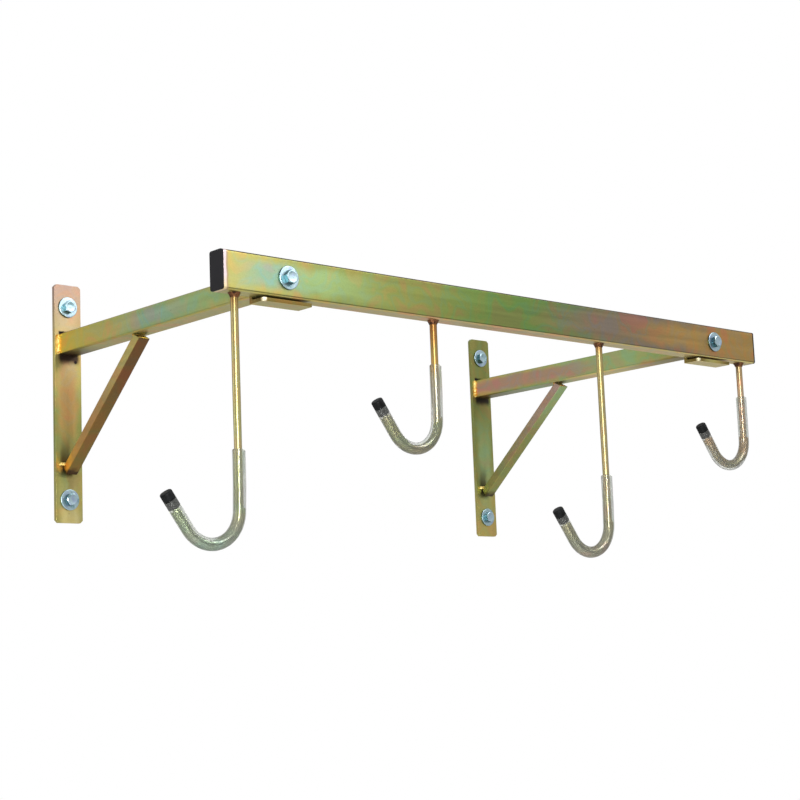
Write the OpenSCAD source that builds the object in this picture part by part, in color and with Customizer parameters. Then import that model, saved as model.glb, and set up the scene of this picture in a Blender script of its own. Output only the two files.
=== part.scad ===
// Wall hook rack: a rectangular hook rail on two welded stand-off brackets,
// with four J-shaped hooks of alternating length in clear hose sleeves.
// Millimetres, +X along the rail, +Y into the wall, +Z up. The origin is the
// centre of the four wall screws, on the wall plane.

/* [Rail] */
// Length of the rail tube
rail_l = 830; // [820:5:1000]
// Height of the rail tube
rail_h = 40; // [34:1:50]
// Depth of the rail tube, front to back
rail_d = 20; // [16:1:30]
// Wall thickness of the rail tube
rail_wall = 1.5; // [1:0.1:2]
// Outer corner radius of the rail tube
rail_r = 2.5; // [2:0.1:3]
// Distance from the wall to the front face of the rail
standoff = 418; // [340:1:480]
// Height of the rail's underside above the middle of the wall screws
rail_rise = 48; // [40:1:60]
// Thickness of an end cap's visible flange
cap_flange = 2.5; // [1.5:0.1:4]
// Depth of an end cap's insert inside the tube
cap_insert = 14; // [8:1:20]

/* [Brackets] */
// Distance between the two brackets
bracket_pitch = 672; // [560:1:700]
// Width of a wall plate
plate_w = 35; // [32:1:50]
// Height of a wall plate
plate_h = 278; // [270:1:320]
// Thickness of a wall plate
plate_t = 5; // [4:0.5:8]
// Corner chamfer of a wall plate
plate_chamfer = 3; // [1:0.5:5]
// Side of the square arm tube
arm_w = 25; // [22:1:30]
// Wall thickness of the arm tube
arm_wall = 2; // [1.5:0.1:2.5]
// Outer corner radius of the arm tube
arm_r = 2.5; // [2.2:0.1:3.5]
// Width of the brace tube
brace_w = 15; // [12:1:20]
// Thickness of the brace tube
brace_t = 12; // [10:1:14]
// Wall thickness of the brace tube
brace_wall = 1.5; // [1:0.1:2]
// Distance from the wall plate to the brace's rear edge, along the arm
brace_reach = 147; // [125:1:155]
// Slope of the brace below the horizontal
brace_angle = 41.2; // [38:0.1:43]
// Wedge-shaped gap left open at each end of the brace
brace_gap = 6; // [1:0.5:7]
// Radius of the weld beads on the brackets
bead_r = 3.5; // [2:0.1:4]

/* [Saddles] */
// Length of a saddle along the rail
saddle_l = 62; // [45:1:80]
// Height of a saddle's upright leg
saddle_h = 40; // [38:1:44]
// Thickness of both saddle legs
saddle_t = 4; // [3:0.2:5]
// Clear gap between the rail's underside and the saddle's lower leg
saddle_gap = 2; // [0.5:0.1:3]
// Setback of the lower leg's front edge from the rail's front face
saddle_setback = 2; // [0:0.5:6]

/* [Hooks] */
// Distance between the two outer hooks
outer_hook_pitch = 792; // [740:1:800]
// Distance between the two inner hooks
inner_hook_pitch = 264; // [200:1:320]
// Diameter of the hook rod
rod_d = 8; // [6:0.5:8]
// Drop of hook 1's rod below the rail, at the bottom of its bend
hook_1_drop = 245.5; // [150:0.5:300]
// Drop of hook 2's rod below the rail
hook_2_drop = 140; // [130:0.5:300]
// Drop of hook 3's rod below the rail
hook_3_drop = 244; // [150:0.5:300]
// Drop of hook 4's rod below the rail
hook_4_drop = 131.5; // [130:0.5:300]
// Bend radius at the rod's centre line
bend_r = 33.5; // [25:0.5:40]
// Angle that the bend carries on past its lowest point
bend_past = 54; // [40:1:70]
// Straight length after the bend, to the end of the tip plug
tip_l = 41.5; // [35:0.5:60]

/* [Sleeves and plugs] */
// Outside diameter of the hose sleeve
sleeve_d = 13; // [12:0.5:15]
// Bore of the hose sleeve
sleeve_bore = 9; // [8.6:0.1:10]
// Height of the sleeve's top end above the bottom of the bend
sleeve_rise = 92; // [60:1:110]
// Length of the tip plug outside the sleeve
plug_l = 9; // [5:0.5:12]
// Length of the tip plug's stem inside the sleeve
stem_l = 9; // [5:0.5:12]
// Diameter of the weld collar at the top of a rod
collar_d = 15; // [12:0.5:18]
// Height of the weld collar
collar_h = 5; // [3:0.5:8]

/* [Fasteners] */
// Nominal thread diameter of the rail bolts and wall screws
thread_d = 8; // [6:1:8]
// Width across flats of the hexagon heads and nuts
hex_af = 13; // [12:0.5:14]
// Height of a hexagon head
head_h = 5.3; // [4:0.1:6]
// Outside diameter of the washers
washer_d = 24; // [18:1:28]
// Thickness of the washers
washer_t = 2; // [1.5:0.1:2.5]
// Length of a rail bolt under its head
bolt_l = 36; // [34:1:45]
// Vertical distance between a bracket's two wall screws
screw_pitch = 225; // [210:1:235]
// Length of a wall screw beyond the wall plane
screw_bite = 13; // [10:1:80]

/* [Hidden] */
$fn = 64;

yellow_zinc = "#b4a860";
weld_gold = "#8a6a34";
white_zinc = "#b9c3cc";
black_plastic = "#1c1c1e";
clear_hose = [0.62, 0.66, 0.6, 0.6];

cut = 1;
hole_clearance = 0.5;
left = -1;
right = 1;
upper = 1;
lower = -1;
rail_front = -standoff;
rail_back = rail_front + rail_d;
rail_mid_z = rail_rise + rail_h / 2;
arm_under = rail_mid_z - arm_w / 2;
arm_front = rail_back + saddle_t;
saddle_top = rail_rise - saddle_gap;
hole_r = thread_d / 2 + hole_clearance;
rod_r = rod_d / 2;
sleeve_r = sleeve_d / 2;
bend_angle = 90 + bend_past;
hook_x = [-outer_hook_pitch / 2, -inner_hook_pitch / 2, inner_hook_pitch / 2, outer_hook_pitch / 2];
hook_drop = [hook_1_drop, hook_2_drop, hook_3_drop, hook_4_drop];
hook_y = rail_front + rail_d / 2;
stem_end = tip_l - plug_l;
rod_end = stem_end - stem_l;
tip_swell = 0.02;

// ---- shared shapes ----

// Flat outline with round corners, centred on the origin
module round_rect(w, h, r) {
    square([w - 2 * r, h], center = true);
    square([w, h - 2 * r], center = true);
    for (x = [-1, 1])
        for (y = [-1, 1])
            translate([x * (w / 2 - r), y * (h / 2 - r)])
                circle(r);
}

// Cross-section of a rectangular tube, centred on the origin
module tube_section(w, h, wall, r) {
    difference() {
        round_rect(w, h, r);
        round_rect(w - 2 * wall, h - 2 * wall, r - wall / 2);
    }
}

// Moves to a bracket's own frame: its middle, on the wall plane
module at_bracket(side) {
    translate([side * bracket_pitch / 2, 0, 0])
        children();
}

// Cylinder along Y from y0 to y1
module y_cylinder(r, y0, y1) {
    translate([0, y1, 0])
        rotate([90, 0, 0])
            cylinder(h = y1 - y0, r = r);
}

// Hexagon with one chamfered face, standing on z = 0
module hex_head(h) {
    hex_r = hex_af / 2 / cos(30);
    face_r = hex_af * 0.475;
    intersection() {
        cylinder(h = h, r = hex_r, $fn = 6);
        cylinder(h = h, r1 = face_r + h * tan(60), r2 = face_r);
    }
}

// Washer with its back face on y = 0
module washer() {
    rotate([90, 0, 0])
        difference() {
            cylinder(h = washer_t, r = washer_d / 2);
            translate([0, 0, -cut])
                cylinder(h = washer_t + 2 * cut, r = thread_d / 2);
        }
}

// Quarter-round weld bead along +Z from the inside corner of two faces
module corner_bead(r, l) {
    intersection() {
        cylinder(h = l, r = r);
        cube([r, r, l]);
    }
}

// ---- brackets ----

module wall_plate(side) {
    color(yellow_zinc)
        at_bracket(side)
            difference() {
                rotate([90, 0, 0])
                    linear_extrude(plate_t)
                        plate_outline();
                for (end = [upper, lower])
                    translate([0, 0, end * screw_pitch / 2])
                        y_cylinder(hole_r, -plate_t - cut, cut);
            }
}

module plate_outline() {
    w = plate_w / 2;
    h = plate_h / 2;
    c = plate_chamfer;
    polygon([
        [-w, -h + c], [-w + c, -h], [w - c, -h], [w, -h + c],
        [w, h - c], [w - c, h], [-w + c, h], [-w, h - c]
    ]);
}

module arm(side) {
    color(yellow_zinc)
        at_bracket(side)
            translate([0, -plate_t, rail_mid_z])
                rotate([90, 0, 0])
                    linear_extrude(-arm_front - plate_t)
                        tube_section(arm_w, arm_w, arm_wall, arm_r);
}

// Side view of the brace, in the plane of y and z, from its rear edge's top end
module brace_outline() {
    // Both long edges slope down to the wall; the lower one is brace_t away
    drop = brace_reach * tan(brace_angle);
    lower_y = -brace_t / sin(brace_angle);
    polygon([
        [0, 0],
        [brace_reach, -drop],
        [brace_reach - brace_gap, -(brace_reach - brace_gap - lower_y) * tan(brace_angle)],
        [lower_y + brace_gap / tan(brace_angle), -brace_gap]
    ]);
}

module brace(side) {
    color(yellow_zinc)
        at_bracket(side)
            translate([0, -plate_t - brace_reach, arm_under])
                difference() {
                    translate([-brace_w / 2, 0, 0])
                        rotate([90, 0, 90])
                            linear_extrude(brace_w)
                                brace_outline();
                    rotate([-brace_angle, 0, 0])
                        translate([0, brace_reach / 2, -brace_t / 2])
                            cube([brace_w - 2 * brace_wall, 2 * brace_reach, brace_t - 2 * brace_wall],
                                 center = true);
                }
}

// Two upright beads beside the arm and one bead across each end of the brace
module bracket_welds(side) {
    brace_foot = arm_under - brace_reach * tan(brace_angle);
    upright_l = arm_w - 2 * arm_r;
    color(weld_gold)
        at_bracket(side) {
            for (flank = [0, 1])
                mirror([flank, 0, 0])
                    translate([arm_w / 2, -plate_t, rail_mid_z - upright_l / 2])
                        mirror([0, 1, 0])
                            corner_bead(bead_r, upright_l);
            translate([-brace_w / 2, -plate_t, brace_foot])
                rotate([0, 90, 0])
                    mirror([1, 1, 0])
                        corner_bead(bead_r, brace_w);
            translate([-brace_w / 2, -plate_t - brace_reach, arm_under])
                rotate([0, 90, 0])
                    corner_bead(bead_r, brace_w);
        }
}

// ---- saddles ----

// L-shaped section in the plane of y and z, with its inside corner rounded
module saddle_section() {
    back = rail_back + saddle_t;
    bottom = saddle_top - saddle_t;
    fillet = saddle_gap;
    translate([rail_back, bottom])
        square([saddle_t, saddle_h]);
    translate([rail_front + saddle_setback, bottom])
        square([back - rail_front - saddle_setback, saddle_t]);
    difference() {
        translate([rail_back - fillet, saddle_top])
            square(fillet);
        translate([rail_back - fillet, saddle_top + fillet])
            circle(fillet);
    }
}

module saddle(side) {
    color(yellow_zinc)
        at_bracket(side)
            difference() {
                translate([-saddle_l / 2, 0, 0])
                    rotate([90, 0, 90])
                        linear_extrude(saddle_l)
                            saddle_section();
                translate([0, 0, rail_mid_z])
                    y_cylinder(hole_r, rail_back - cut, arm_front + cut);
            }
}

module saddle_nut(side) {
    nut_h = 0.8 * thread_d;
    color(yellow_zinc)
        at_bracket(side)
            translate([0, arm_front, rail_mid_z])
                rotate([-90, 0, 0])
                    difference() {
                        hex_head(nut_h);
                        translate([0, 0, -cut])
                            cylinder(h = nut_h + 2 * cut, r = thread_d / 2);
                    }
}

// ---- rail ----

module rail() {
    color(yellow_zinc)
        difference() {
            translate([-rail_l / 2, rail_front + rail_d / 2, rail_mid_z])
                rotate([90, 0, 90])
                    linear_extrude(rail_l)
                        tube_section(rail_d, rail_h, rail_wall, rail_r);
            for (side = [left, right])
                translate([side * bracket_pitch / 2, 0, rail_mid_z])
                    y_cylinder(hole_r, rail_front - cut, rail_back + cut);
        }
}

module rail_cap(side) {
    play = 0.2;
    insert_d = rail_d - 2 * rail_wall - play;
    insert_h = rail_h - 2 * rail_wall - play;
    cap_wall = 1.6;
    color(black_plastic)
        translate([side * rail_l / 2, rail_front + rail_d / 2, rail_mid_z])
            rotate([90, 0, side * 90]) {
                linear_extrude(cap_flange)
                    round_rect(rail_d, rail_h, rail_r);
                translate([0, 0, -cap_insert])
                    linear_extrude(cap_insert)
                        tube_section(insert_d, insert_h, cap_wall, rail_r - rail_wall / 2);
            }
}

module rail_bolt(side) {
    color(white_zinc)
        at_bracket(side)
            translate([0, rail_front - washer_t, rail_mid_z])
                rotate([90, 0, 0]) {
                    hex_head(head_h);
                    translate([0, 0, -bolt_l])
                        cylinder(h = bolt_l, r = thread_d / 2);
                }
}

module rail_washer(side) {
    color(white_zinc)
        at_bracket(side)
            translate([0, rail_front, rail_mid_z])
                washer();
}

// ---- wall fixings ----

// The neck inside the washer and plate is thinner than the thread in the wall
module wall_screw(side, end) {
    end_chamfer = 1;
    neck_l = plate_t + washer_t;
    neck_r = thread_d / 2 - 0.15;
    color(white_zinc)
        at_bracket(side)
            translate([0, 0, end * screw_pitch / 2])
                rotate([-90, 0, 0]) {
                    translate([0, 0, -neck_l])
                        mirror([0, 0, 1])
                            hex_head(head_h);
                    translate([0, 0, -neck_l])
                        cylinder(h = neck_l, r = neck_r);
                    cylinder(h = screw_bite - end_chamfer, r = thread_d / 2);
                    translate([0, 0, screw_bite - end_chamfer])
                        cylinder(h = end_chamfer, r1 = thread_d / 2, r2 = thread_d / 2 - end_chamfer);
                }
}

module wall_washer(side, end) {
    color(white_zinc)
        at_bracket(side)
            translate([0, -plate_t, end * screw_pitch / 2])
                washer();
}

// ---- hooks ----

// Round bar or hose along a hook's line: straight down, round the bend, up to the tip.
// It starts top above the bend and ends at tip after it; bore is 0 for a solid bar.
// The tip is thicker by tip_swell and starts inside the bend, so that the two fuse cleanly.
module hook_line(r, bore, top, tip) {
    overlap = 0.5;
    cylinder_shell(r, bore, top);
    translate([-bend_r, 0, 0]) {
        rotate([-90, 0, 0])
            rotate_extrude(angle = bend_angle)
                translate([bend_r, 0])
                    ring(r, bore);
        rotate([0, bend_angle, 0])
            translate([bend_r, 0, -tip])
                cylinder_shell(r + tip_swell, bore - tip_swell, tip + overlap);
    }
}

module ring(r, bore) {
    difference() {
        circle(r);
        if (bore > 0)
            circle(bore);
    }
}

module cylinder_shell(r, bore, h) {
    linear_extrude(h)
        ring(r, bore);
}

// Moves to the centre of hook i's bend start, i counting from 1 at the left
module at_hook(i) {
    translate([hook_x[i - 1], hook_y, rail_rise - hook_drop[i - 1] + bend_r])
        children();
}

module hook_rod(i) {
    color(yellow_zinc)
        at_hook(i)
            hook_line(rod_r, 0, hook_drop[i - 1] - bend_r, rod_end);
}

module hook_weld(i) {
    color(weld_gold)
        translate([hook_x[i - 1], hook_y, rail_rise - collar_h])
            difference() {
                cylinder(h = collar_h, r1 = rod_r + 0.6, r2 = collar_d / 2);
                translate([0, 0, -cut])
                    cylinder(h = collar_h + 2 * cut, r = rod_r);
            }
}

module hook_sleeve(i) {
    color(clear_hose)
        at_hook(i)
            hook_line(sleeve_r, sleeve_bore / 2, sleeve_rise - bend_r, stem_end);
}

module hook_plug(i) {
    chamfer = 1;
    head_r = sleeve_r;
    color(black_plastic)
        at_hook(i)
            translate([-bend_r, 0, 0])
                rotate([0, bend_angle, 0])
                    translate([bend_r, 0, 0]) {
                        translate([0, 0, -stem_end])
                            cylinder(h = stem_l, r = sleeve_bore / 2 - tip_swell);
                        translate([0, 0, -tip_l + chamfer])
                            cylinder(h = plug_l - chamfer, r = head_r);
                        translate([0, 0, -tip_l])
                            cylinder(h = chamfer, r1 = head_r - chamfer, r2 = head_r);
                    }
}

wall_plate(left);  // wall_plate_left
wall_plate(right);  // wall_plate_right
arm(left);  // arm_left
arm(right);  // arm_right
brace(left);  // brace_left
brace(right);  // brace_right
bracket_welds(left);  // bracket_welds_left
bracket_welds(right);  // bracket_welds_right
saddle(left);  // saddle_left
saddle(right);  // saddle_right
saddle_nut(left);  // saddle_nut_left
saddle_nut(right);  // saddle_nut_right
rail();
rail_cap(left);  // rail_cap_left
rail_cap(right);  // rail_cap_right
rail_bolt(left);  // rail_bolt_left
rail_bolt(right);  // rail_bolt_right
rail_washer(left);  // rail_washer_left
rail_washer(right);  // rail_washer_right
wall_screw(left, upper);  // wall_screw_left_upper
wall_screw(left, lower);  // wall_screw_left_lower
wall_screw(right, upper);  // wall_screw_right_upper
wall_screw(right, lower);  // wall_screw_right_lower
wall_washer(left, upper);  // wall_washer_left_upper
wall_washer(left, lower);  // wall_washer_left_lower
wall_washer(right, upper);  // wall_washer_right_upper
wall_washer(right, lower);  // wall_washer_right_lower
hook_rod(1);  // hook_rod_1
hook_rod(2);  // hook_rod_2
hook_rod(3);  // hook_rod_3
hook_rod(4);  // hook_rod_4
hook_weld(1);  // hook_weld_1
hook_weld(2);  // hook_weld_2
hook_weld(3);  // hook_weld_3
hook_weld(4);  // hook_weld_4
hook_sleeve(1);  // hook_sleeve_1
hook_sleeve(2);  // hook_sleeve_2
hook_sleeve(3);  // hook_sleeve_3
hook_sleeve(4);  // hook_sleeve_4
hook_plug(1);  // hook_plug_1
hook_plug(2);  // hook_plug_2
hook_plug(3);  // hook_plug_3
hook_plug(4);  // hook_plug_4
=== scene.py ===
import math

import bmesh
import bpy
from mathutils import Matrix, Vector, noise


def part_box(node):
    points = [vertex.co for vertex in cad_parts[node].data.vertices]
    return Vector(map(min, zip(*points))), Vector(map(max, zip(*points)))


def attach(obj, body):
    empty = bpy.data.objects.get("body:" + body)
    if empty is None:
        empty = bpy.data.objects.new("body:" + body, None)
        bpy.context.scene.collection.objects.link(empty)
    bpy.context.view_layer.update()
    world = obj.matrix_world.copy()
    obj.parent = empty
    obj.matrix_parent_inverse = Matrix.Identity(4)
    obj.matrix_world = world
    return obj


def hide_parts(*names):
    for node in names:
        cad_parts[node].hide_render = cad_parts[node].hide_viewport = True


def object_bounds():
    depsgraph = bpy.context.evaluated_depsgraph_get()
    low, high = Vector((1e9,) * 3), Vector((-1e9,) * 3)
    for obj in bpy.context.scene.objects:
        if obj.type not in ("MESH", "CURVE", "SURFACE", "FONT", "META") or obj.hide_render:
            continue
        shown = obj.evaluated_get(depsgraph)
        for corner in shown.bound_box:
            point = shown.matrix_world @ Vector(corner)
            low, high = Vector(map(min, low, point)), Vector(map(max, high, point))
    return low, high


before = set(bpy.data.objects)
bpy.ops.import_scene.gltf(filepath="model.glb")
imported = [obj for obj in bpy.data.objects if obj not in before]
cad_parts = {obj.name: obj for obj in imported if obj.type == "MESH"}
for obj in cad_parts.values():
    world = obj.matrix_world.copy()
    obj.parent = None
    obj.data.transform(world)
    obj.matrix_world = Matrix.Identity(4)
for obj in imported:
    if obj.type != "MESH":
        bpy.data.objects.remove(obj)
cad_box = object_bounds()
MM = 0.001
SCENE = bpy.context.scene


# ---------------------------------------------------------------- node graphs

def linear(hex_colour):
    """A hex sRGB colour as linear RGBA."""
    parts = [int(hex_colour[i:i + 2], 16) / 255 for i in (1, 3, 5)]
    return [c / 12.92 if c <= 0.04045 else ((c + 0.055) / 1.055) ** 2.4 for c in parts] + [1.0]


class Graph:
    """A material with one Principled shader, and short calls that add nodes to it."""

    def __init__(self, name):
        self.mat = bpy.data.materials.new(name)
        self.mat.use_nodes = True
        self.tree = self.mat.node_tree
        self.tree.nodes.clear()
        self.out = self.add("ShaderNodeOutputMaterial")
        self.bsdf = self.add("ShaderNodeBsdfPrincipled")
        self.tree.links.new(self.bsdf.outputs[0], self.out.inputs[0])
        self.coord = self.add("ShaderNodeTexCoord").outputs["Object"]
        split = self.add("ShaderNodeSeparateXYZ")
        self.put(split.inputs[0], self.coord)
        self.axis = {"x": split.outputs[0], "y": split.outputs[1], "z": split.outputs[2]}
        facing = self.add("ShaderNodeSeparateXYZ")
        self.put(facing.inputs[0], self.add("ShaderNodeNewGeometry").outputs["Normal"])
        self.facing = {"x": facing.outputs[0], "y": facing.outputs[1], "z": facing.outputs[2]}

    def add(self, kind, **props):
        node = self.tree.nodes.new(kind)
        for key, value in props.items():
            setattr(node, key, value)
        return node

    def put(self, socket, value):
        if isinstance(value, bpy.types.NodeSocket):
            self.tree.links.new(value, socket)
        else:
            socket.default_value = value

    def math(self, op, a, b=0.0):
        node = self.add("ShaderNodeMath", operation=op)
        for socket, value in zip(node.inputs, (a, b)):
            self.put(socket, value)
        return node.outputs[0]

    def times(self, first, *others):
        for value in others:
            first = self.math("MULTIPLY", first, value)
        return first

    def off(self, value, centre):
        """Distance of a value from a centre."""
        return self.math("ABSOLUTE", self.math("SUBTRACT", value, centre))

    def around(self, point):
        """Distance of the surface from a point."""
        node = self.add("ShaderNodeVectorMath", operation="DISTANCE")
        self.put(node.inputs[0], self.coord)
        node.inputs[1].default_value = point
        return node.outputs["Value"]

    def span(self, value, lo, hi, out_lo=0.0, out_hi=1.0, smooth=False):
        """Value mapped from lo..hi to out_lo..out_hi, clamped."""
        node = self.add("ShaderNodeMapRange")
        node.interpolation_type = "SMOOTHSTEP" if smooth else "LINEAR"
        for socket, v in zip(node.inputs, (value, lo, hi, out_lo, out_hi)):
            self.put(socket, v)
        return node.outputs[0]

    def noise(self, scale, detail=3.0, stretch=(1, 1, 1), seed=0.0, distortion=0.0):
        """Noise over the object's own coordinates; each seed is another place in it."""
        place = self.add("ShaderNodeMapping")
        self.put(place.inputs["Vector"], self.coord)
        place.inputs["Location"].default_value = (seed * 3.1, seed * 1.7, seed * 2.3)
        place.inputs["Scale"].default_value = stretch
        node = self.add("ShaderNodeTexNoise")
        self.put(node.inputs["Vector"], place.outputs[0])
        self.put(node.inputs["Scale"], scale)
        self.put(node.inputs["Detail"], detail)
        self.put(node.inputs["Distortion"], distortion)
        return node.outputs["Fac"]

    def ramp(self, factor, stops):
        """Colours along 0..1, each a name from PLATING or a hex colour."""
        node = self.add("ShaderNodeValToRGB")
        ramp = node.color_ramp
        ramp.interpolation = "EASE"
        while len(ramp.elements) > 1:
            ramp.elements.remove(ramp.elements[-1])
        for i, (place, colour) in enumerate(stops):
            element = ramp.elements[0] if i == 0 else ramp.elements.new(place)
            element.position = place
            element.color = linear(PLATING.get(colour, colour))
        self.put(node.inputs[0], factor)
        return node.outputs[0]

    def mix(self, factor, a, b, blend="MIX"):
        node = self.add("ShaderNodeMix", data_type="RGBA", blend_type=blend)
        self.put(node.inputs["Factor"], factor)
        colour_a, colour_b, result = 6, 7, 2
        self.put(node.inputs[colour_a], a)
        self.put(node.inputs[colour_b], b)
        return node.outputs[result]

    def bump(self, height, distance, strength=1.0, below=None):
        node = self.add("ShaderNodeBump")
        self.put(node.inputs["Height"], height)
        node.inputs["Distance"].default_value = distance
        node.inputs["Strength"].default_value = strength
        if below is not None:
            self.put(node.inputs["Normal"], below)
        return node.outputs[0]

    def set(self, **values):
        """Fills the shader's sockets, with _ for a space in their names, and gives the material."""
        for key, value in values.items():
            self.put(self.bsdf.inputs[key.replace("_", " ")], value)
        return self.mat


# ---------------------------------------------------------------- materials

# the colours that yellow passivated zinc takes, from thin film to dark brown; the darkest is for
# painted shadow
PLATING = {
    "straw": "#c0b070", "pale_straw": "#d8c890", "gold": "#d0b850", "sand": "#c8b088",
    "tan": "#b89060", "copper": "#d09848", "olive": "#909058", "moss": "#708850",
    "sage": "#a0b080", "aqua": "#98b0a0", "mauve": "#907870", "rose": "#b89488",
    "bronze": "#806838", "umber": "#704c30", "shadow_brown": "#483828",
}

FILM = [(0.0, "#9c8f4a"), (0.34, "#c9a94a"), (0.44, "#8fb85e"), (0.5, "#74b8a8"),
        (0.55, "#a8b05c"), (0.63, "#d38a6c"), (1.0, "#b07f8a")]


def zinc(name, along, ends, middle, edge=None, across=None, under=None, seed=1.0,
         film=0.3, shine=(0.3, 0.44), drift=0.03, painted_light_and_marks=None, relief=1.0, painted_edge_line=None):
    """Yellow-passivated zinc: colour drifts along one axis and towards the edges of the
    face, with cloudy interference tints, fine grain, rubbed streaks and small pits.

    ends, middle: the span of the axis and its colours; across: (axis, centre, half width) of
    the face for the edge colours and the painted reflection line along its rounded edges;
    under: painted light and shade, as colours of faces that look down; film: strength of the
    tints; shine: range of roughness; painted_light_and_marks: paints highlights, shade and marks over
    the result."""
    g = Graph(name)
    lo, hi = ends
    cloud = g.noise(13.0, detail=2.0, seed=seed, distortion=0.4)
    wander = g.math("MULTIPLY", g.math("SUBTRACT", cloud, 0.5), drift)
    place = g.span(g.math("ADD", g.axis[along], wander), lo, hi)
    colour = g.ramp(place, middle)
    if edge:
        axis, centre, half = across
        away = g.math("DIVIDE", g.off(g.axis[axis], centre), half)
        ragged = g.math("SUBTRACT", g.noise(38.0, detail=2.0, seed=seed + 4), 0.5)
        spread = g.math("ADD", away, g.math("MULTIPLY", ragged, 0.7))
        colour = g.mix(g.span(spread, 0.35, 0.95, smooth=True), colour, g.ramp(place, edge))
        # painted reflection: a line of its own colour along the rounded long edges, where the face
        # turns side-on
        if painted_edge_line:
            thin = g.math("ADD", away, g.math("MULTIPLY", ragged, 0.05))
            side_on = g.span(g.math("ABSOLUTE", g.facing["z"]), 0.93, 0.8)
            line = g.times(g.span(thin, 0.88, 0.95), side_on)
            colour = g.mix(line, colour, linear(painted_edge_line))
    # painted light and shade: faces that look down take colours of their own
    if under:
        down = g.span(g.facing["z"], -0.3, -0.65, smooth=True)
        colour = g.mix(down, colour, g.ramp(place, under))
    tint = g.ramp(g.noise(30.0, detail=2.5, seed=seed + 9, distortion=0.8), FILM)
    colour = g.mix(film, colour, tint, "SOFT_LIGHT")
    grain = g.noise(900.0, detail=2.0, seed=seed)
    drawn = {"x": (0.1, 1.0, 3.0), "y": (1.0, 0.1, 3.0), "z": (2.0, 2.0, 0.1)}[along]
    streak = g.noise(60.0, detail=2.0, stretch=drawn, seed=seed + 2)
    colour = g.mix(0.16, colour, g.ramp(grain, [(0.3, "#5c5c5c"), (0.7, "#a4a4a4")]), "OVERLAY")
    colour = g.mix(0.14, colour, g.ramp(streak, [(0.3, "#666666"), (0.7, "#999999")]), "OVERLAY")
    pits = g.add("ShaderNodeTexVoronoi")
    g.put(pits.inputs["Vector"], g.coord)
    g.put(pits.inputs["Scale"], 95.0)
    speck = g.span(pits.outputs["Distance"], 0.035, 0.07)
    colour = g.mix(speck, g.mix(0.4, colour, linear("#3a3020")), colour)
    # painted highlights and shade, with a few marks, laid over the colour
    if painted_light_and_marks:
        colour = painted_light_and_marks(g, colour)
    rough = g.span(streak, 0.25, 0.75, shine[0], shine[1])
    height = g.math("ADD", g.times(grain, 0.5), speck)
    dents = g.bump(cloud, 0.5 * MM * relief, 0.25)
    return g.set(Base_Color=colour, Metallic=0.85, Roughness=rough,
                 Normal=g.bump(height, 0.02 * MM * relief, 0.5, dents))


def white_zinc(name, seed):
    """Blue-white zinc plating on bolts and washers: dulled patches, and painted shade on the flanks.
    """
    g = Graph(name)
    cloud = g.noise(120.0, detail=3.0, seed=seed, distortion=0.5)
    colour = g.ramp(cloud, [(0.3, "#8fb2ba"), (0.5, "#b4cdd5"), (0.7, "#9fb0cc")])
    # painted shade: faces turned away from the front take a dark teal
    flank = g.span(g.facing["y"], -0.35, -0.8, smooth=True)
    colour = g.mix(flank, linear("#4c6c70"), colour)
    grain = g.noise(1600.0, detail=2.0, seed=seed)
    rough = g.span(cloud, 0.3, 0.7, 0.26, 0.36)
    return g.set(Base_Color=colour, Metallic=1.0, Roughness=rough,
                 Normal=g.bump(grain, 0.004 * MM, 0.4))


def weld_metal(name, dark, light, seed):
    """Plated weld bead: heat-browned, lumpy and a little shiny."""
    g = Graph(name)
    cloud = g.noise(150.0, detail=4.0, seed=seed, distortion=0.6)
    colour = g.ramp(cloud, [(0.32, dark), (0.5, light), (0.68, dark)])
    grain = g.noise(1100.0, detail=3.0, seed=seed)
    return g.set(Base_Color=colour, Metallic=0.8, Roughness=g.span(cloud, 0.3, 0.7, 0.3, 0.5),
                 Normal=g.bump(grain, 0.04 * MM, 0.5))


def black_plastic(name):
    """Moulded polyethylene end cap: near black, satin, with a fine moulded grain."""
    g = Graph(name)
    cloud = g.noise(55.0, detail=3.0)
    colour = g.ramp(cloud, [(0.35, "#0c0b0f"), (0.65, "#141317")])
    grain = g.noise(1500.0, detail=2.0)
    return g.set(Base_Color=colour, Roughness=g.span(cloud, 0.3, 0.7, 0.42, 0.58),
                 Specular_IOR_Level=0.16, Normal=g.bump(grain, 0.03 * MM, 0.5))


def black_rubber(name):
    """Rubber tip plug: black, matt, with scuffs."""
    g = Graph(name)
    cloud = g.noise(180.0, detail=4.0, distortion=0.5)
    colour = g.ramp(cloud, [(0.35, "#060707"), (0.6, "#0d0f10"), (0.8, "#1a1d1d")])
    grain = g.noise(1400.0, detail=3.0)
    return g.set(Base_Color=colour, Roughness=g.span(cloud, 0.3, 0.7, 0.4, 0.6),
                 Specular_IOR_Level=0.14, Normal=g.bump(grain, 0.03 * MM, 0.5))


def clear_hose(name):
    """Clear PVC hose: very slightly clouded, with patches a little less glossy."""
    g = Graph(name)
    cloud = g.noise(45.0, detail=3.0, distortion=0.4)
    colour = g.ramp(cloud, [(0.3, "#e2e8de"), (0.5, "#eef0ea"), (0.7, "#e8e6e4")])
    return g.set(Base_Color=colour, Roughness=g.span(cloud, 0.3, 0.7, 0.05, 0.1),
                 IOR=1.42, Transmission_Weight=0.95)


def floor_paint(name):
    """Pale matt studio floor with faint clouds."""
    g = Graph(name)
    cloud = g.noise(3.0, detail=3.0)
    colour = g.ramp(cloud, [(0.3, "#e4e3e0"), (0.7, "#ebeae8")])
    return g.set(Base_Color=colour, Roughness=0.8)


# ---------------------------------------------------------------- mesh helpers

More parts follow.
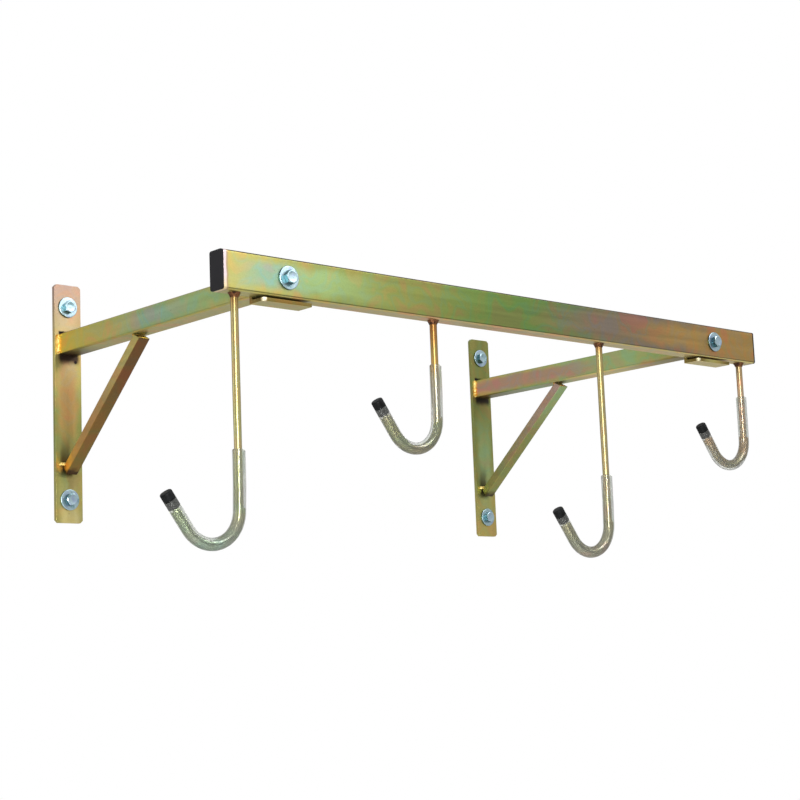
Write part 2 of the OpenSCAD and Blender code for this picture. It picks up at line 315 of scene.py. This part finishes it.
def add_piece(name, bm, mat, nodes, smooth=32.0):
    """Makes the piece that stands in for the named CAD nodes; smooth is in degrees."""
    mesh = bpy.data.meshes.new(name)
    bmesh.ops.recalc_face_normals(bm, faces=bm.faces)
    bm.to_mesh(mesh)
    bm.free()
    mesh.materials.append(mat)
    mesh.polygons.foreach_set("use_smooth", [True] * len(mesh.polygons))
    mesh.set_sharp_from_angle(angle=math.radians(smooth))
    obj = bpy.data.objects.new(name, mesh)
    SCENE.collection.objects.link(obj)
    even = obj.modifiers.new("even_normals", "WEIGHTED_NORMAL")
    even.keep_sharp = True
    even.weight = 100
    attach(obj, "root")
    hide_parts(*nodes)


def refined(node, mat, widths):
    """The CAD node's own shape with rounded edges: widths is a list of (test, bevel width)."""
    sharp = math.radians(28)
    bm = bmesh.new()
    bm.from_mesh(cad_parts[node].data)
    bmesh.ops.remove_doubles(bm, verts=bm.verts, dist=2e-6)
    bmesh.ops.dissolve_limit(bm, angle_limit=math.radians(1.0), verts=bm.verts, edges=bm.edges)
    for test, width in widths:
        picked = [e for e in bm.edges
                  if len(e.link_faces) == 2 and e.calc_face_angle(0.0) > sharp and test(e)]
        bmesh.ops.bevel(bm, geom=picked, offset=width, offset_type="OFFSET", segments=3,
                        profile=0.5, affect="EDGES", clamp_overlap=True)
    add_piece(node + "_piece", bm, mat, [node])


def every_edge(edge):
    return True


def tube_rings(bm, rings):
    """Skins a list of vertex rings, each a list of points, and caps both ends."""
    made = [[bm.verts.new(p) for p in ring] for ring in rings]
    n = len(made[0])
    for a, b in zip(made, made[1:]):
        for i in range(n):
            bm.faces.new((a[i], a[(i + 1) % n], b[(i + 1) % n], b[i]))
    bm.faces.new(list(reversed(made[0])))
    bm.faces.new(made[-1])


def lathe(bm, profile, origin, axis, sides=48, wobble=None):
    """Turns a profile of (radius, distance along axis) about the axis, with capped ends."""
    axis = axis.normalized()
    side = axis.orthogonal().normalized()
    other = axis.cross(side)
    rings = []
    for k, (r, d) in enumerate(profile):
        ring = []
        for i in range(sides):
            a = 2 * math.pi * i / sides
            wide = r * (1.0 if wobble is None else wobble(a, d, k))
            across = side * (wide * math.cos(a)) + other * (wide * math.sin(a))
            ring.append(origin + axis * d + across)
        rings.append(ring)
    tube_rings(bm, rings)


def lathe_ring(bm, profile, origin, axis, sides):
    """Turns a closed profile about the axis, for a washer."""
    axis = axis.normalized()
    side = axis.orthogonal().normalized()
    other = axis.cross(side)
    columns = []
    for i in range(sides):
        a = 2 * math.pi * i / sides
        out = side * math.cos(a) + other * math.sin(a)
        columns.append([bm.verts.new(origin + axis * d + out * r) for r, d in profile])
    n = len(profile)
    for i in range(sides):
        a, b = columns[i], columns[(i + 1) % sides]
        for k in range(n):
            bm.faces.new((a[k], a[(k + 1) % n], b[(k + 1) % n], b[k]))


# ---------------------------------------------------------------- rail and brackets

BRACE_SLOPE = math.radians(41.2)
# from the wall plate's face to where the brace's rear edge meets the arm
REACH = 147 * MM


def rail_material():
    lo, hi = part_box("rail")
    middle = [(0.0, "straw"), (0.06, "aqua"), (0.14, "sage"), (0.28, "olive"), (0.48, "moss"),
              (0.65, "mauve"), (0.86, "tan"), (1.0, "tan")]
    edge = [(0.0, "straw"), (0.2, "olive"), (0.5, "moss"), (0.75, "mauve"), (1.0, "tan")]
    # colours of the underside: painted light
    under = [(0.0, "straw"), (0.4, "sand"), (1.0, "pale_straw")]
    mid = (lo.z + hi.z) / 2

    def end_highlight(g, colour):
        """Painted highlight: a pale strip at the cut end beside the left cap, with a tan line inside
        it.
        """
        ragged = g.times(g.math("SUBTRACT", g.noise(90.0, seed=5.0), 0.5), 2.5 * MM)
        x = g.math("ADD", g.axis["x"], ragged)
        low = g.span(g.axis["z"], lo.z + 14 * MM, lo.z + 2 * MM)
        pale = g.mix(low, linear("#cdbcbe"), linear("#dcc79a"))
        # the tan line inside the painted highlight
        painted_edge_line = g.mix(g.span(x, lo.x + 4.4 * MM, lo.x + 6.0 * MM), linear("#a08a68"), colour)
        return g.mix(g.span(x, lo.x + 2.6 * MM, lo.x + 3.8 * MM), pale, painted_edge_line)

    # the dark line along the rounded long edges is a painted reflection
    return zinc("zinc_rail", "x", (lo.x, hi.x), middle, edge, ("z", mid, (hi.z - lo.z) / 2),
                under, seed=2.0, painted_light_and_marks=end_highlight, film=0.42, painted_edge_line="#3c2d24")


def build_rail():
    refined("rail", rail_material(), [(every_edge, 0.35 * MM)])
    plastic = black_plastic("cap_plastic")
    for side in ("left", "right"):
        refined("rail_cap_" + side, plastic, [(every_edge, 0.5 * MM)])


def plate_shade_and_dot(side):
    """Painted shade on the plate above and below the arm and beside the brace's foot, and a small dark
    dot below the left arm.
    """
    arm_lo, arm_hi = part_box("arm_" + side)
    mid = (arm_lo.x + arm_hi.x) / 2
    foot = arm_lo.z - REACH * math.tan(BRACE_SLOPE)

    def foot_shade(g, x, z):
        """Painted shade in the corner beside and above the brace's foot."""
        return g.times(g.span(z, foot + 40 * MM, foot + 4 * MM, smooth=True),
                       g.span(z, foot - 13 * MM, foot - 6 * MM),
                       g.span(g.off(x, mid - 5 * MM), 9 * MM, 3 * MM, smooth=True))

    def above(g, x, z):
        """Painted shadow: a black wedge just over the arm, on its left half."""
        return g.times(g.span(z, arm_hi.z + 4 * MM, arm_hi.z + 2.4 * MM),
                       g.span(x, mid + 2 * MM, mid - 1 * MM),
                       g.span(x, arm_lo.x - 0.5 * MM, arm_lo.x + 1 * MM),
                       g.span(z, arm_hi.z - 6 * MM, arm_hi.z - 5 * MM))

    def beneath(g, x, z):
        """Painted shadow: a dark patch under the arm, fading downwards."""
        return g.times(g.span(z, arm_lo.z - 13 * MM, arm_lo.z - 4 * MM, smooth=True),
                       g.span(z, arm_hi.z, arm_hi.z - 4 * MM),
                       g.span(g.off(x, mid + 1 * MM), 15 * MM, 11 * MM))

    def paint(g, colour):
        ragged = g.times(g.math("SUBTRACT", g.noise(160.0, detail=3.0, seed=3.0), 0.5), 3.0 * MM)
        z = g.math("ADD", g.axis["z"], ragged)
        x = g.math("ADD", g.axis["x"], ragged)
        over = above(g, x, z)
        # a small dark dot on the plate below the left arm, in the same dark as the painted shadow over
        # the arm
        if side == "left":
            spot = g.around((mid + 10 * MM, arm_hi.y, arm_lo.z - 7 * MM))
            over = g.math("MAXIMUM", over, g.span(spot, 2.6 * MM, 1.5 * MM))
        front = g.span(g.facing["y"], -0.6, -0.9)
        # on the front face: painted shade by the brace's foot, painted shadow over and under the arm
        colour = g.mix(g.times(foot_shade(g, x, z), 0.78, front), colour, linear("#3f2d1a"))
        colour = g.mix(g.times(over, front), colour, linear("#120c10"))
        return g.mix(g.times(beneath(g, x, z), 0.93, front), colour, linear("#21161b"))

    return paint


def plate_material(side):
    node = "wall_plate_" + side
    lo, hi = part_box(node)
    if side == "left":
        middle = [(0.0, "pale_straw"), (0.25, "olive"), (0.5, "tan"), (0.75, "sand"), (1.0, "rose")]
        edge = [(0.0, "straw"), (0.4, "olive"), (0.65, "straw"), (1.0, "rose")]
        seed = 5.0
    else:
        middle = [(0.0, "straw"), (0.4, "sage"), (0.7, "olive"), (1.0, "olive")]
        edge = [(0.0, "straw"), (0.5, "olive"), (1.0, "olive")]
        seed = 8.0
    return zinc("zinc_plate_" + side, "z", (lo.z, hi.z), middle, edge,
                ("x", (lo.x + hi.x) / 2, (hi.x - lo.x) / 2), seed=seed, drift=0.02,
                painted_light_and_marks=plate_shade_and_dot(side))


def arm_material(side):
    lo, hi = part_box("arm_" + side)
    if side == "left":
        middle = [(0.0, "olive"), (0.25, "sage"), (0.5, "aqua"), (0.75, "straw"), (1.0, "gold")]
        edge = [(0.0, "straw"), (0.5, "sage"), (1.0, "gold")]
        # underside: painted light, darkening to painted shadow beside the plate
        under = [(0.0, "straw"), (0.8, "straw"), (1.0, "shadow_brown")]
        seed = 11.0
    else:
        middle = [(0.0, "olive"), (0.3, "sage"), (0.6, "rose"), (1.0, "rose")]
        edge = [(0.0, "tan"), (0.35, "sage"), (1.0, "straw")]
        # underside: painted light and shade
        under = [(0.0, "bronze"), (0.4, "pale_straw"), (0.7, "sage"), (1.0, "bronze")]
        seed = 14.0
    # the edge line colours are a painted reflection along the rounded long edges
    return zinc("zinc_arm_" + side, "y", (lo.y, hi.y), middle, edge,
                ("z", (lo.z + hi.z) / 2, (hi.z - lo.z) / 2), under, seed=seed, film=0.42,
                painted_edge_line="#9a7a3e" if side == "left" else "#8f9a4c")


def brace_material(side):
    lo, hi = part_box("brace_" + side)
    # face: painted shade, the colours of the brace's face that looks down
    if side == "left":
        flank = [(0.0, "straw"), (0.6, "tan"), (1.0, "copper")]
        face = [(0.0, "umber"), (1.0, "bronze")]
        seed = 17.0
    else:
        flank = [(0.0, "rose"), (1.0, "olive")]
        face = [(0.0, "sage"), (0.5, "olive"), (1.0, "olive")]
        seed = 20.0

    def lower_end_shade(g, colour):
        """Painted shade at the lower end."""
        ragged = g.times(g.math("SUBTRACT", g.noise(110.0, seed=seed), 0.5), 9 * MM)
        z = g.math("ADD", g.axis["z"], ragged)
        return g.mix(g.span(z, lo.z + 7 * MM, lo.z + 3 * MM, 0.0, 0.85), colour, linear("#2c190e"))

    return zinc("zinc_brace_" + side, "y", (lo.y, hi.y), flank, under=face, seed=seed,
                drift=0.02, painted_light_and_marks=lower_end_shade)


def long_outer_edge(node):
    """Picks the brace's four long outside edges."""
    lo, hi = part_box(node)
    slope = Vector((0, math.cos(BRACE_SLOPE), -math.sin(BRACE_SLOPE)))
    mid = (lo.x + hi.x) / 2
    half = (hi.x - lo.x) / 2

    def test(edge):
        a, b = (v.co for v in edge.verts)
        along = abs((b - a).normalized().dot(slope)) > 0.999
        return along and all(abs(abs(p.x - mid) - half) < 0.1 * MM for p in (a, b))

    return test


def bead(bm, start, end, out_a, out_b, radius, seed):
    """A lumpy weld bead in the corner between two faces, from start to end."""
    along = end - start
    length = along.length
    steps = 46
    sunk = 0.3 * MM
    ripple_pitch = 2.2 * MM
    rings = []
    for k in range(steps + 1):
        t = k / steps
        taper = min(1.0, 0.45 + 6.0 * min(t, 1 - t))
        ripple = 0.86 + 0.07 * math.cos(2 * math.pi * t * length / ripple_pitch)
        lump = 0.1 * noise.noise(Vector((t * length * 300, seed, 0.3)))
        r = radius * taper * (ripple + lump)
        ring = [start + along * t - out_a * sunk - out_b * sunk]
        for i in range(9):
            a = math.pi / 2 * i / 8
            swollen = r * (0.9 + 0.1 * math.sin(2 * a))
            across = out_a * (swollen * math.cos(a)) + out_b * (swollen * math.sin(a))
            ring.append(start + along * t + across)
        rings.append(ring)
    tube_rings(bm, rings)


def build_bracket_welds(side, mat):
    """Beads up both sides of the arm at the plate, and across both ends of the brace."""
    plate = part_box("wall_plate_" + side)
    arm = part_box("arm_" + side)
    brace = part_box("brace_" + side)
    inset = 0.6 * MM
    radius = 4.3 * MM
    front = Vector((0, -1, 0))
    bm = bmesh.new()
    face_y = plate[0].y
    for flank, x in ((-1, arm[0].x), (1, arm[1].x)):
        bead(bm, Vector((x, face_y, arm[0].z + inset)), Vector((x, face_y, arm[1].z - inset)),
             Vector((flank, 0, 0)), front, radius, seed=flank * 3.3)
    foot = arm[0].z - REACH * math.tan(BRACE_SLOPE)
    overrun = 6 * MM
    bead(bm, Vector((brace[0].x - overrun, face_y, foot)), Vector((brace[1].x, face_y, foot)),
         Vector((0, 0, 1)), front, radius, seed=7.7)
    top_y = face_y - REACH
    bead(bm, Vector((brace[0].x, top_y, arm[0].z)), Vector((brace[1].x, top_y, arm[0].z)),
         Vector((0, 0, -1)), Vector((0, 1, 0)), radius, seed=9.1)
    add_piece("bracket_weld_beads_" + side, bm, mat, ["bracket_welds_" + side], smooth=60)


def saddle_material(side):
    lo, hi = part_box("saddle_" + side)
    # under: painted light on the faces that look down
    if side == "left":
        middle = [(0.0, "bronze"), (1.0, "bronze")]
        under = [(0.0, "straw"), (1.0, "straw")]
    else:
        middle = [(0.0, "bronze"), (0.5, "straw"), (1.0, "bronze")]
        under = [(0.0, "pale_straw"), (1.0, "pale_straw")]

    def corner_highlight(g, colour):
        """Painted highlight: a bright spot on the front left corner of the leg under the rail."""
        away = g.around((lo.x + 1.5 * MM, lo.y, lo.z + 3 * MM))
        return g.mix(g.span(away, 4.2 * MM, 2.4 * MM), colour, linear("#fff6d0"))

    return zinc("zinc_saddle_" + side, "x", (lo.x, hi.x), middle, under=under, seed=23.0,
                painted_light_and_marks=corner_highlight)


def build_brackets():
    bead_gold = weld_metal("weld_gold", "#dc9f38", "#fbe08a", seed=3.0)
    for side in ("left", "right"):
        refined("wall_plate_" + side, plate_material(side), [(every_edge, 0.6 * MM)])
        refined("arm_" + side, arm_material(side), [(every_edge, 0.3 * MM)])
        node = "brace_" + side
        refined(node, brace_material(side),
                [(long_outer_edge(node), 1.6 * MM), (every_edge, 0.2 * MM)])
        build_bracket_welds(side, bead_gold)
        refined("saddle_" + side, saddle_material(side), [(every_edge, 0.6 * MM)])
        refined("saddle_nut_" + side, zinc_fastener, [(every_edge, 0.15 * MM)])


# ---------------------------------------------------------------- fasteners

HEX_FLATS = 13 * MM
THREAD_R = 4 * MM
NECK_R = 3.85 * MM
THREAD_PITCH = 1.25 * MM
THREAD_DEPTH = 0.62 * MM
TIP_CHAMFER = 0.9 * MM


def hexagon(a, flats):
    """Radius of a hexagon with slightly rounded corners at angle a."""
    turn = (a + math.pi / 6) % (math.pi / 3) - math.pi / 6
    corner = flats / 2 / math.cos(math.pi / 6)
    return min(flats / 2 / math.cos(turn), corner * 0.988)


def bolt(name, node, head_base_y, tip_y, thread_from_y, mat, turn):
    """A hexagon bolt along +Y: chamfered head in front, thread cut as real geometry."""
    chamfer = math.tan(math.radians(60))
    lo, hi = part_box(node)
    cx, cz = (lo.x + hi.x) / 2, (lo.z + hi.z) / 2
    face_r = HEX_FLATS * 0.475
    sides = 72
    bm = bmesh.new()

    def ring(radius_at, y_at):
        out = []
        for i in range(sides):
            a = 2 * math.pi * i / sides
            r = radius_at(a)
            x, z = cx + r * math.cos(a + turn), cz + r * math.sin(a + turn)
            out.append(Vector((x, y_at(a, r), z)))
        return out

    def hex_at(a):
        return hexagon(a, HEX_FLATS)

    def chamfered(a, r):
        return lo.y + (r - face_r) / chamfer

    rings = [
        ring(lambda a: face_r * 0.25, lambda a, r: lo.y + 0.25 * MM),
        ring(lambda a: face_r * 0.72, lambda a, r: lo.y + 0.2 * MM),
        ring(lambda a: face_r * 0.8, lambda a, r: lo.y + 0.02 * MM),
        ring(lambda a: face_r * 0.97, lambda a, r: lo.y),
        ring(lambda a: face_r * 1.01, lambda a, r: lo.y + 0.08 * MM),
        ring(lambda a: hex_at(a) * 0.995, lambda a, r: chamfered(a, r) + 0.02 * MM),
        ring(hex_at, lambda a, r: chamfered(a, r) + 0.2 * MM),
        ring(hex_at, lambda a, r: head_base_y - 0.25 * MM),
        ring(lambda a: hex_at(a) * 0.985, lambda a, r: head_base_y),
        ring(lambda a: NECK_R, lambda a, r: head_base_y),
    ]
    rows = int((tip_y - head_base_y) / (THREAD_PITCH / 8))
    for k in range(1, rows + 1):
        y = head_base_y + (tip_y - head_base_y) * k / rows

        def depth(a, y=y):
            if y < thread_from_y:
                return NECK_R
            phase = ((y - thread_from_y) / THREAD_PITCH - a / (2 * math.pi)) % 1.0
            cutting = abs(phase * 2 - 1)
            run_in = min(1.0, (y - thread_from_y) / THREAD_PITCH)
            r = THREAD_R - THREAD_DEPTH * min(1.0, cutting * 1.15) * run_in
            return min(r, THREAD_R - TIP_CHAMFER + tip_y - y)

        rings.append(ring(depth, lambda a, r, y=y: y))
    tube_rings(bm, rings)
    add_piece(name, bm, mat, [node], smooth=25)


def washer(name, node, mat):
    """Large flat washer with rolled edges."""
    lo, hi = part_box(node)
    middle = Vector(((lo.x + hi.x) / 2, lo.y, (lo.z + hi.z) / 2))
    r, t, hole = (hi.x - lo.x) / 2, hi.y - lo.y, 4.2 * MM
    b = 0.35 * MM
    profile = [(hole, b), (hole + b, 0), (r - 2.2 * b, 0), (r - b, 0.25 * b), (r - 0.2 * b, b),
               (r, 2 * b), (r, t - b), (r - 0.3 * b, t - 0.3 * b), (r - b, t), (hole, t)]
    bm = bmesh.new()
    lathe_ring(bm, profile, middle, Vector((0, 1, 0)), sides=96)
    add_piece(name, bm, mat, [node], smooth=35)


def build_fasteners():
    """Rail bolts and wall screws with their washers, each head turned its own way."""
    for i, side in enumerate(("left", "right")):
        mat = white_zinc("zinc_white_rail_" + side, seed=i + 1.0)
        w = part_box("rail_washer_" + side)
        washer("rail_washer_disc_" + side, "rail_washer_" + side, mat)
        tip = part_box("rail_bolt_" + side)[1].y
        node = "rail_bolt_" + side
        bolt("rail_bolt_body_" + side, node, w[0].y, tip, tip - 22 * MM, mat, 0.35 + i * 0.5)
        for j, end in enumerate(("upper", "lower")):
            tag = side + "_" + end
            mat = white_zinc("zinc_white_" + tag, seed=5.0 + i * 2 + j)
            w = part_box("wall_washer_" + tag)
            washer("wall_washer_disc_" + tag, "wall_washer_" + tag, mat)
            node = "wall_screw_" + tag
            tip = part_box(node)[1].y
            bolt("wall_bolt_" + tag, node, w[0].y, tip, 0.0, mat, 0.2 + i * 0.7 + j * 0.4)


# ---------------------------------------------------------------- hooks

BEND_R = 33.5 * MM
BEND = math.radians(144)
ROD_R = 4 * MM
SLEEVE_R = 6.5 * MM
SLEEVE_BORE_R = 4.52 * MM
STEM_R = 4.5 * MM
# straight length from the end of the bend to the tip of the plug
TIP = 41.5 * MM
PLUG_HEAD = 9 * MM
PLUG_STEM = 9 * MM
# the stretched hose presses this far into what it grips
CLING = 0.1 * MM
ACROSS = Vector((0, 1, 0))


class HookLine:
    """The centre line of hook i: straight down, round the bend and up to the tip."""

    def __init__(self, i):
        lo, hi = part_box("hook_rod_%d" % i)
        self.x = hi.x - ROD_R
        self.y = (lo.y + hi.y) / 2
        self.top = hi.z
        self.start = lo.z + ROD_R + BEND_R
        self.drop = self.top - self.start

    def at(self, s):
        """Point, tangent and outward normal at distance s past the start of the bend."""
        a = min(max(s / BEND_R, 0.0), BEND)
        out = Vector((math.cos(a), 0, -math.sin(a)))
        tangent = Vector((-math.sin(a), 0, -math.cos(a)))
        point = Vector((self.x - BEND_R, self.y, self.start)) + out * BEND_R
        extra = min(s, 0.0) + max(s - BEND * BEND_R, 0.0)
        return point + tangent * extra, tangent, out


def stations(lo, hi, step):
    """Even places from lo to hi, no further apart than step."""
    n = max(2, int(math.ceil((hi - lo) / step)))
    return [lo + (hi - lo) * k / n for k in range(n + 1)]


def hook_rod_material(i, line):
    """Plated bar: greyer in the bend, browned at the weld, and warmer on hooks 2 to 4."""
    low = line.start - BEND_R
    middle = [(0.0, "#97a69a"), (0.12, "#a6ac88"), (0.34, "#b6ae80"), (0.6, "#b5a878"),
              (0.9, "#ae9a6c"), (1.0, "#946f42")]
    if i == 2:
        middle = [(0.0, "#8e8f6c"), (0.14, "#9c9a72"), (0.3, "#b5a898"), (0.52, "#bba894"),
                  (0.62, "#b99a62"), (1.0, "#9a7040")]
    if i == 3:
        middle = [(0.0, "#a39a88"), (0.15, "#b0a486"), (0.4, "#b8a680"), (0.9, "#b29e6e"),
                  (1.0, "#987646")]
    if i == 4:
        middle = [(0.0, "#988c6e"), (0.2, "#b0947a"), (0.6, "#c4a48a"), (1.0, "#b29670")]
    return zinc("zinc_rod_%d" % i, "z", (low, line.top), middle, seed=30.0 + i * 3, film=0.25,
                shine=(0.28, 0.34), relief=0.1)


def build_rod(i, line):
    """Bent round bar; drawn bar is never perfectly straight or round."""
    sides = 40
    end = BEND * BEND_R + TIP - PLUG_HEAD - PLUG_STEM
    rings = []
    for s in stations(-line.drop, end, 2.0 * MM):
        p, _, out = line.at(s)
        bow = 0.25 * MM * noise.noise(Vector((s * 9, i * 7.7, 0.0)))
        shrink = ROD_R * 0.12 if s > end - 0.5 * MM else 0.0
        r = ROD_R - shrink - abs(bow)
        rings.append([p + out * (r * math.cos(a) + bow) + ACROSS * (r * math.sin(a))
                      for a in (2 * math.pi * k / sides for k in range(sides))])
    bm = bmesh.new()
    tube_rings(bm, rings)
    mat = hook_rod_material(i, line)
    add_piece("hook_bar_%d" % i, bm, mat, ["hook_rod_%d" % i], smooth=50)


def build_rod_weld(i, mat):
    """Lumpy ring of weld between the rail's underside and the rod."""
    lo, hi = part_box("hook_weld_%d" % i)
    middle = Vector(((lo.x + hi.x) / 2, (lo.y + hi.y) / 2, hi.z))
    top_r = (hi.x - lo.x) / 2 * 0.97
    depth = hi.z - lo.z

    def wobble(a, d, k):
        lump = noise.noise(Vector((math.cos(a) * 1.9, math.sin(a) * 1.9, i * 5.1 + d * 260)))
        ripple = 0.03 * math.cos(a * 11 + i)
        return 0.94 + ripple + 0.12 * lump * (1.0 if k < 8 else 0.4)

    levels = 10
    profile = []
    for k in range(levels):
        t = k / (levels - 1)
        r = top_r - (top_r - ROD_R - 0.2 * MM) * (t ** 0.75)
        profile.append((min(r, top_r / 1.06), t * depth))
    bm = bmesh.new()
    lathe(bm, profile, middle, Vector((0, 0, -1)), sides=56, wobble=wobble)
    add_piece("hook_weld_bead_%d" % i, bm, mat, ["hook_weld_%d" % i], smooth=60)


def build_sleeve(i, line, mat, rise, slant, lean):
    """Clear hose pulled over the rod: cut off at a slant, loose at the top, tight in the bend."""
    top = BEND_R - rise
    end = BEND * BEND_R + TIP - PLUG_HEAD
    sides = 44
    places = stations(top, end, 2.0 * MM)

    def freedom(s):
        """1 where the hose stands off the straight rod, down to 0 where it grips."""
        return min(1.0, max(0.0, -s / (25 * MM)))

    def outer_radius(s, a):
        """Just under full size, with slow waves along and around the hose."""
        wave = 0.08 * MM * noise.noise(Vector((s * 22, 0.6 * math.cos(a), 0.6 * math.sin(a) + i)))
        return SLEEVE_R - 0.08 * MM + min(0.07 * MM, wave)

    def inner_radius(s, a):
        """The bore where the hose is free, pressed onto the rod or the plug's stem where not."""
        held = ROD_R if s < end - PLUG_STEM else STEM_R
        return SLEEVE_BORE_R + (held - CLING - SLEEVE_BORE_R) * (1.0 - freedom(s))

    def ring(radius_at, s):
        out_ring = []
        fade = max(0.0, 1.0 - (s - top) / (9 * MM))
        for k in range(sides):
            a = 2 * math.pi * k / sides
            ragged = 0.35 * MM * noise.noise(Vector((math.cos(a) * 2.2, math.sin(a) * 2.2, i * 3.7)))
            cut = (slant * 0.5 * (1 + math.cos(a - 0.6)) + ragged) * fade
            p, _, out = line.at(s + cut)
            r = radius_at(s, a)
            middle = p + out * (lean * freedom(s))
            out_ring.append(middle + out * (r * math.cos(a)) + ACROSS * (r * math.sin(a)))
        return out_ring

    bm = bmesh.new()
    outer = [[bm.verts.new(p) for p in ring(outer_radius, s)] for s in places]
    inner = [[bm.verts.new(p) for p in ring(inner_radius, s)] for s in places]

    def skin(a, b):
        for k in range(sides):
            bm.faces.new((a[k], a[(k + 1) % sides], b[(k + 1) % sides], b[k]))

    for a, b in zip(outer, outer[1:]):
        skin(a, b)
    for a, b in zip(inner, inner[1:]):
        skin(b, a)
    skin(inner[0], outer[0])
    skin(outer[-1], inner[-1])
    add_piece("hook_hose_%d" % i, bm, mat, ["hook_sleeve_%d" % i], smooth=50)


def build_plug(i, line, mat):
    """Rubber plug: plain stem pushed into the hose, rounded head outside it."""
    tip, tangent, _ = line.at(BEND * BEND_R + TIP)
    r = SLEEVE_R - 0.1 * MM
    h, s = PLUG_HEAD, PLUG_STEM
    profile = [(r * 0.3, 0.02 * MM), (r * 0.7, 0.05 * MM), (r * 0.88, 0.25 * MM),
               (r * 0.96, 0.75 * MM), (r * 0.995, 1.5 * MM), (r, 2.4 * MM), (r, h - 1.4 * MM),
               (r * 0.985, h - 0.4 * MM), (r * 0.95, h), (STEM_R, h),
               (STEM_R, h + s - 0.8 * MM), (STEM_R * 0.9, h + s)]
    bm = bmesh.new()
    lathe(bm, profile, tip, -tangent)
    add_piece("hook_tip_%d" % i, bm, mat, ["hook_plug_%d" % i], smooth=40)


def build_hooks():
    rubber = black_rubber("plug_rubber")
    hose = clear_hose("pvc_hose")
    dark = weld_metal("weld_dark", "#2e1a10", "#71492c", seed=6.0)
    # each hose's height above the bottom of the J, slant of its cut and lean off the rod, in mm
    cuts = ((92.0, 3.0, 0.9), (92.0, 4.0, 0.7), (90.0, 5.0, 0.8), (88.5, 3.5, 0.3))
    for i, (rise, slant, lean) in enumerate(cuts, start=1):
        line = HookLine(i)
        build_rod(i, line)
        build_rod_weld(i, dark)
        build_sleeve(i, line, hose, rise * MM, slant * MM, lean * MM)
        build_plug(i, line, rubber)


# ---------------------------------------------------------------- studio

def area_light(name, place, target, size, power):
    data = bpy.data.lights.new(name, "AREA")
    data.shape = "RECTANGLE"
    data.size, data.size_y = size
    data.energy = power
    obj = bpy.data.objects.new(name, data)
    SCENE.collection.objects.link(obj)
    obj.location = place
    obj.rotation_mode = "QUATERNION"
    obj.rotation_quaternion = (Vector(target) - Vector(place)).to_track_quat("-Z", "Y")


def build_world():
    """White behind the object, a softer grey for what the metal reflects."""
    world = bpy.data.worlds.new("studio")
    world.use_nodes = True
    tree = world.node_tree
    tree.nodes.clear()
    out = tree.nodes.new("ShaderNodeOutputWorld")
    seen = tree.nodes.new("ShaderNodeBackground")
    seen.inputs["Color"].default_value = (1, 1, 1, 1)
    room = tree.nodes.new("ShaderNodeBackground")
    toward = tree.nodes.new("ShaderNodeTexCoord")
    split = tree.nodes.new("ShaderNodeSeparateXYZ")
    height = tree.nodes.new("ShaderNodeMapRange")
    height.inputs["From Min"].default_value = -0.6
    height.inputs["From Max"].default_value = 0.9
    shade = tree.nodes.new("ShaderNodeValToRGB")
    shade.color_ramp.elements[0].color = linear("#8a8a88")
    shade.color_ramp.elements[1].color = linear("#f6f7f8")
    tree.links.new(toward.outputs["Generated"], split.inputs[0])
    tree.links.new(split.outputs[2], height.inputs[0])
    tree.links.new(height.outputs[0], shade.inputs[0])
    tree.links.new(shade.outputs[0], room.inputs["Color"])
    path = tree.nodes.new("ShaderNodeLightPath")
    mix = tree.nodes.new("ShaderNodeMixShader")
    tree.links.new(path.outputs["Is Camera Ray"], mix.inputs[0])
    tree.links.new(room.outputs[0], mix.inputs[1])
    tree.links.new(seen.outputs[0], mix.inputs[2])
    tree.links.new(mix.outputs[0], out.inputs[0])
    SCENE.world = world


def build_stage():
    """Pale floor, well below the rack."""
    bm = bmesh.new()
    cells = 8
    half = 3.0
    low = cad_box[0].z - 1.1
    places = [half * (2 * i / cells - 1) for i in range(cells + 1)]
    grid = [[bm.verts.new(Vector((x, y, low))) for x in places] for y in places]
    for j in range(cells):
        for i in range(cells):
            bm.faces.new((grid[j][i], grid[j][i + 1], grid[j + 1][i + 1], grid[j + 1][i]))
    mesh = bpy.data.meshes.new("floor")
    bm.to_mesh(mesh)
    bm.free()
    mesh.materials.append(floor_paint("floor_paint"))
    floor = bpy.data.objects.new("floor", mesh)
    SCENE.collection.objects.link(floor)


def build_camera():
    """The photograph's viewing angle: from the front left, below the rack, looking up."""
    yaw, pitch, roll = (math.radians(v) for v in (42.13, 8.76, -2.24))
    ahead = Vector((math.sin(yaw) * math.cos(pitch), math.cos(yaw) * math.cos(pitch), math.sin(pitch)))
    right = Vector((math.cos(yaw), -math.sin(yaw), 0))
    up = right.cross(ahead)
    right, up = (math.cos(roll) * right + math.sin(roll) * up,
                 math.cos(roll) * up - math.sin(roll) * right)
    data = bpy.data.cameras.new("camera")
    data.lens = 80.42
    data.sensor_width = 36
    cam = bpy.data.objects.new("camera", data)
    SCENE.collection.objects.link(cam)
    turn = Matrix((right, up, -ahead)).transposed().to_4x4()
    cam.matrix_world = Matrix.Translation((-1.4204, -1.7749, -0.3260)) @ turn
    SCENE.camera = cam


def build_lights():
    """Soft key from the right, a tall strip behind the camera for the rods, a fill from the left."""
    area_light("key", (1.0, -2.1, 1.3), (0.0, -0.35, 0.0), (1.2, 1.0), 22.0)
    area_light("near_camera", (-1.42, -1.98, -0.1), (0.0, -0.4, -0.1), (0.42, 1.5), 42.0)
    area_light("left_fill", (-2.4, 0.8, 0.7), (0.0, -0.2, 0.0), (1.2, 1.2), 9.0)


SCENE.view_settings.view_transform = "Standard"
zinc_fastener = zinc("zinc_fastener", "x", (cad_box[0].x, cad_box[1].x),
                     [(0.0, "#b0a25c"), (1.0, "#a59a58")], seed=40.0)
build_world()
build_stage()
build_camera()
build_lights()
build_rail()
build_brackets()
build_fasteners()
build_hooks()

bpy.context.view_layer.update()
